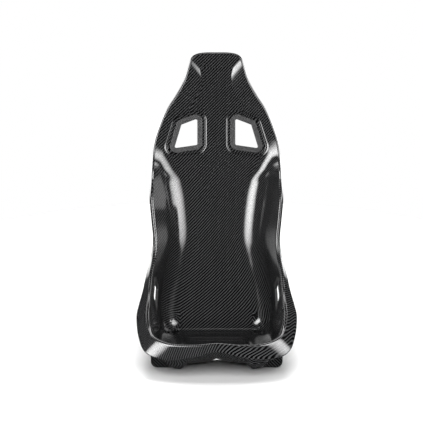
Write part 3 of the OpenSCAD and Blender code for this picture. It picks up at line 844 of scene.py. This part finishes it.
def metal_material(name, tone, roughness):
    """Turned metal with fine circular-looking tool marks and colour variation."""
    m = Nodes(name)
    where = m.node("ShaderNodeTexCoord").outputs["Object"]
    marks, cloud = m.noise(where, 3200.0, 2.0), m.noise(where, 160.0, 3.0)
    bsdf = m.shader(Metallic=1.0)
    m.link(m.grey(m.math("MULTIPLY", tone, m.math("MULTIPLY_ADD", cloud, 0.3, 0.85)), 1.0, 1.02),
           bsdf.inputs["Base Color"])
    m.link(m.math("MULTIPLY_ADD", marks, 0.22, roughness - 0.1), bsdf.inputs["Roughness"])
    m.link(m.bump(marks, 0.00003, 0.5), bsdf.inputs["Normal"])
    return m.material


def floor_material():
    m = Nodes("studio_floor")
    where = m.node("ShaderNodeTexCoord").outputs["Object"]
    cloud = m.noise(where, 3.0, 2.0)
    bsdf = m.shader(Roughness=0.6, Specular_IOR_Level=0.2)
    m.link(m.grey(m.math("MULTIPLY_ADD", cloud, 0.01, 0.9)), bsdf.inputs["Base Color"])
    return m.material


def backdrop_material():
    m = Nodes("studio_backdrop")
    m.glow(1.0)
    return m.material


# ---- The pieces --------------------------------------------------------------------------------------
carbon = carbon_material("carbon_twill_clearcoat", "weave")
# The side pads get a carbon painted darker (painted shade) for the shadow under the seat.
pad_carbon_painted_shade = carbon_material("carbon_twill_pad_painted_shade", "object", PAD_PAINTED_SHADE)
trim_black = plastic_material("moulded_black_plastic", 0.024, 0.42)
steel = metal_material("blackened_steel", 0.16, 0.38)
aluminium = metal_material("turned_aluminium", 0.72, 0.32)

grid, normals = build_shell(carbon)

BEZEL = [(OPENING_R, REAR_BEZEL_BACK, 0.6), (SLEEVE_R, REAR_BEZEL_BACK, 0.6), (SLEEVE_R, TRAY_FRONT, 0.2),
         (BEZEL_R, TRAY_FRONT, 0.3), (BEZEL_R, BEZEL_FRONT, 1.4), (OPENING_R, BEZEL_FRONT, 2.2)]
REAR_BEZEL = [(SLEEVE_R, REAR_BEZEL_BACK, 0.5), (REAR_BEZEL_R, REAR_BEZEL_BACK, 1.2),
              (REAR_BEZEL_R, TRAY_BACK, 0.2), (SLEEVE_R, TRAY_BACK, 0.2)]
LAP_IN, LAP_OUT = LAP_R - TRIM_SLEEVE, LAP_R + TRIM_FLANGE
LAP_TRIM = [(LAP_IN, -LAMINATE - TRIM_T, 0.8), (LAP_OUT, -LAMINATE - TRIM_T, 0.9), (LAP_OUT, -LAMINATE, 0.2),
            (LAP_R, -LAMINATE, 0.1), (LAP_R, 0, 0.1), (LAP_OUT, 0, 0.2), (LAP_OUT, TRIM_T, 0.9),
            (LAP_IN, TRIM_T, 0.8)]
CROTCH_UNDER = CROTCH_TOP - LAMINATE
CROTCH_LOW = CROTCH_UNDER - CROTCH_TRIM_T
CROTCH_IN, CROTCH_OUT = CROTCH_R - TRIM_SLEEVE, CROTCH_R + TRIM_FLANGE
CROTCH_UPPER = [(CROTCH_IN, CROTCH_LOW, 0.6), (CROTCH_R, CROTCH_LOW, 0.6), (CROTCH_R, CROTCH_TOP, 0.1),
                (CROTCH_OUT, CROTCH_TOP, 0.2), (CROTCH_OUT, CROTCH_TOP + CROTCH_TRIM_T, 1.2),
                (CROTCH_IN, CROTCH_TOP + CROTCH_TRIM_T, 1.2)]
CROTCH_LOWER = [(CROTCH_R, CROTCH_LOW, 0.4), (CROTCH_OUT, CROTCH_LOW, 1.0), (CROTCH_OUT, CROTCH_UNDER, 0.2),
                (CROTCH_R, CROTCH_UNDER, 0.2)]
side_wall = on_side_wall(grid, normals)
for side, label in ((-1, "left"), (1, "right")):
    for name, centres, profile, locate, node in (
            ("harness_bezel_" + label, HARNESS, BEZEL, in_back_plane, "shoulder_bezel_" + label),
            ("harness_bezel_rear_" + label, HARNESS, REAR_BEZEL, in_back_plane,
             "shoulder_bezel_rear_" + label),
            ("lap_slot_trim_" + label, LAP, LAP_TRIM, side_wall, "lap_trim_" + label)):
        finish_piece(ring_object(name, centres, profile, locate, (side,)), trim_black, [node])
finish_piece(ring_object("crotch_slot_trim_upper", CROTCH, CROTCH_UPPER, in_pan_plane), trim_black,
             ["crotch_trim_upper"])
finish_piece(ring_object("crotch_slot_trim_lower", CROTCH, CROTCH_LOWER, in_pan_plane), trim_black,
             ["crotch_trim_lower"])

INSERT_SEGMENTS = 48
FORWARD = from_back(np.array([0.0, 0, 1]))
SCREW_RING = (SLEEVE_R + REAR_BEZEL_R) / 2
for side, label in ((-1, "left"), (1, "right")):
    spots = [from_back(np.array([side * x, s, REAR_BEZEL_BACK])) for x, s in ring_places(HARNESS, SCREW_RING)]
    finish_piece(turned_object("harness_screws_" + label, screw_stations(9.5), [(p, FORWARD) for p in spots]),
                 steel, ["shoulder_screws_" + label])
    ends = [(side * MOUNT_X, MOUNT_MID_Y + k * MOUNT_PITCH / 2, MOUNT_HEIGHT) for k in (-1, 1)]
    places = [(p, (side, 0, 0)) for p in ends]
    finish_piece(turned_object("pad_inserts_" + label, insert_stations(), places, INSERT_SEGMENTS),
                 aluminium, ["mount_inserts_" + label])
base, way = ring_directions(CROTCH, 2)
spots = [(*(base + way * (CROTCH_R + TRIM_FLANGE / 2))[3 * k + 1], CROTCH_LOW) for k in range(4)]
finish_piece(turned_object("crotch_slot_screws", screw_stations(8.0), [(p, (0, 0, 1)) for p in spots]),
             steel, ["crotch_screws"])

PAD_WELD, PAD_EDGE = 0.00002, 0.0015
for label in ("left", "right"):
    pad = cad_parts["side_pad_" + label]
    pad.data.materials.clear()
    pad.data.materials.append(pad_carbon_painted_shade)
    weld = pad.modifiers.new("weld", "WELD")
    weld.merge_threshold = PAD_WELD
    bevel = pad.modifiers.new("edge", "BEVEL")
    bevel.width, bevel.segments, bevel.limit_method = PAD_EDGE, 2, "ANGLE"
    bevel.angle_limit = math.radians(40)

# ---- Camera ------------------------------------------------------------------------------------------
VIEW_ELEVATION = RECLINE
CAMERA_AT, CAMERA_LENS, SENSOR = (-0.0154, -3.8331, 1.5895), 111.7, 36.0
camera_data = bpy.data.cameras.new("camera")
camera_data.lens, camera_data.sensor_width = CAMERA_LENS, SENSOR
camera = bpy.data.objects.new("camera", camera_data)
bpy.context.scene.collection.objects.link(camera)
camera.location = CAMERA_AT
look = Vector((0, math.cos(VIEW_ELEVATION), -math.sin(VIEW_ELEVATION)))
camera.rotation_mode = "QUATERNION"
camera.rotation_quaternion = look.to_track_quat("-Z", "Y")
bpy.context.scene.camera = camera

# ---- Studio ------------------------------------------------------------------------------------------
AIM = Vector((0, 0.12, 0.42))


def plain_object(name, points, faces, material):
    mesh = bpy.data.meshes.new(name)
    mesh.from_pydata(points, [], faces)
    mesh.materials.append(material)
    o = bpy.data.objects.new(name, mesh)
    bpy.context.scene.collection.objects.link(o)
    return o


FLOOR_R, FLOOR_SIDES = 1.5, 96
floor_turns = [2 * math.pi * k / FLOOR_SIDES for k in range(FLOOR_SIDES)]
floor_points = [(FLOOR_R * math.cos(a), FLOOR_R * math.sin(a), 0) for a in floor_turns]
studio_floor = plain_object("studio_floor", floor_points, [tuple(range(FLOOR_SIDES))], floor_material())
studio_floor.visible_glossy = False

DOME_R, DOME_TURNS, DOME_RINGS = 28, 48, 16
dome_points, dome_faces = [], []
for i in range(DOME_RINGS + 1):
    a = math.pi * i / DOME_RINGS - math.pi / 2
    for j in range(DOME_TURNS):
        b = 2 * math.pi * j / DOME_TURNS
        dome_points.append((DOME_R * math.cos(a) * math.cos(b), DOME_R * math.cos(a) * math.sin(b),
                            DOME_R * math.sin(a)))
for i in range(DOME_RINGS):
    low, high = i * DOME_TURNS, (i + 1) * DOME_TURNS
    for j in range(DOME_TURNS):
        k = (j + 1) % DOME_TURNS
        dome_faces.append((low + j, low + k, high + k, high + j))
dome = plain_object("studio_backdrop", dome_points, dome_faces, backdrop_material())
for ray in ("diffuse", "glossy", "transmission", "shadow", "volume_scatter"):
    setattr(dome, "visible_" + ray, False)


def direction(azimuth, elevation):
    """Unit vector from the seat; azimuth 0 is in front of it and 90 is towards +X."""
    a, e = math.radians(azimuth), math.radians(elevation)
    return Vector((math.sin(a) * math.cos(e), -math.cos(a) * math.cos(e), math.sin(e)))


def soft_box(name, azimuth, elevation, distance, width, height, strength, roll=0, diffuse=False):
    """Panel light that fades smoothly towards its edges; roll leans its top to the panel's left."""
    m = Nodes(name)
    split = m.node("ShaderNodeSeparateXYZ")
    m.link(m.node("ShaderNodeTexCoord").outputs["Object"], split.inputs[0])

    def fade(coordinate, size):
        x = m.math("MULTIPLY", coordinate, 2 / size)
        return m.math("MAXIMUM", m.math("SUBTRACT", 1.0, m.math("MULTIPLY", x, x)), 0.0)
    faded = m.math("MULTIPLY", fade(split.outputs[0], width), fade(split.outputs[1], height))
    m.glow(m.math("MULTIPLY", faded, strength))
    w, h = width / 2, height / 2
    o = plain_object(name, [(-w, -h, 0), (w, -h, 0), (w, h, 0), (-w, h, 0)], [(0, 1, 2, 3)], m.material)
    way = direction(azimuth, elevation)
    o.location = AIM + way * distance
    o.rotation_mode = "QUATERNION"
    o.rotation_quaternion = (-way).to_track_quat("Z", "Y") @ Quaternion((0, 0, 1), math.radians(roll))
    o.visible_camera = False
    o.visible_diffuse = diffuse
    o.visible_shadow = False
    return o


FLAG_NEAR, FLAG_FAR, FLAG_FRONT, FLAG_REAR, FLAG_LEVELS = 0.33, 0.39, -0.02, 0.08, (0.05, 0.52)


def flag(name, start, end):
    """Black upright card that dims the double mirroring of a soft box between the bolsters."""
    m = Nodes(name)
    m.glow(0.0)
    low, high = FLAG_LEVELS
    corners = [(*start, low), (*end, low), (*end, high), (*start, high)]
    o = plain_object(name, corners, [(0, 1, 2, 3)], m.material)
    o.visible_camera = o.visible_diffuse = o.visible_shadow = False
    return o


def fill_light(name, azimuth, elevation, distance, width, height, power, floor_state):
    """Wide light without its own reflection, kept off the floor (EXCLUDE) or on it alone (INCLUDE)."""
    data = bpy.data.lights.new(name, "AREA")
    data.shape, data.size, data.size_y, data.energy = "RECTANGLE", width, height, power
    way = direction(azimuth, elevation)
    light = bpy.data.objects.new(name, data)
    bpy.context.scene.collection.objects.link(light)
    light.location = AIM + way * distance
    light.rotation_mode = "QUATERNION"
    light.rotation_quaternion = (-way).to_track_quat("-Z", "Y")
    light.visible_glossy = False
    receivers = bpy.data.collections.new(name + "_receivers")
    receivers.objects.link(studio_floor)
    receivers.collection_objects[0].light_linking.link_state = floor_state
    light.light_linking.receiver_collection = receivers
    return light


# Name, azimuth, elevation, distance, width, height, strength
soft_box("soft_box_right", 60, 25, 2.6, 2.2, 3.1, 15, roll=-20)
soft_box("soft_box_left", -44, 25, 2.6, 1.5, 3.1, 22, roll=20)
soft_box("soft_box_rear_right", 135, 6, 2.6, 1.6, 1.2, 9, diffuse=True)
soft_box("soft_box_rear_left", -135, 6, 2.6, 1.6, 1.2, 9, diffuse=True)
soft_box("soft_box_top", 180, 66, 2.4, 2.6, 0.7, 12)
soft_box("soft_box_high_right", 110, 46, 2.6, 1.2, 0.9, 8)
soft_box("soft_box_high_left", -110, 46, 2.6, 1.2, 0.9, 8)
flag("flag_right", (FLAG_NEAR, FLAG_FRONT), (FLAG_FAR, FLAG_REAR))
flag("flag_left", (-FLAG_NEAR, FLAG_FRONT), (-FLAG_FAR, FLAG_REAR))
# Name, azimuth, elevation, distance, width, height, power, floor
fill_light("fill_front", 0, 16, 3.0, 2.4, 1.4, 150, "EXCLUDE")
fill_light("fill_rear", 180, 20, 3.0, 2.4, 1.4, 110, "EXCLUDE")
fill_light("fill_side_right", 95, 15, 3.0, 1.6, 1.4, 45, "EXCLUDE")
fill_light("fill_side_left", -95, 15, 3.0, 1.6, 1.4, 45, "EXCLUDE")
fill_light("fill_floor", 180, 80, 4.0, 3.4, 3.0, 250, "INCLUDE")
fill_light("fill_floor_front", 0, 40, 4.0, 4.5, 2.5, 170, "INCLUDE")

WORLD_STRENGTH = 0.04
world = bpy.data.worlds.new("studio")
world.use_nodes = True
world.node_tree.nodes["Background"].inputs[0].default_value = (1, 1, 1, 1)
world.node_tree.nodes["Background"].inputs[1].default_value = WORLD_STRENGTH
bpy.context.scene.world = world
bpy.context.scene.view_settings.view_transform = "Standard"
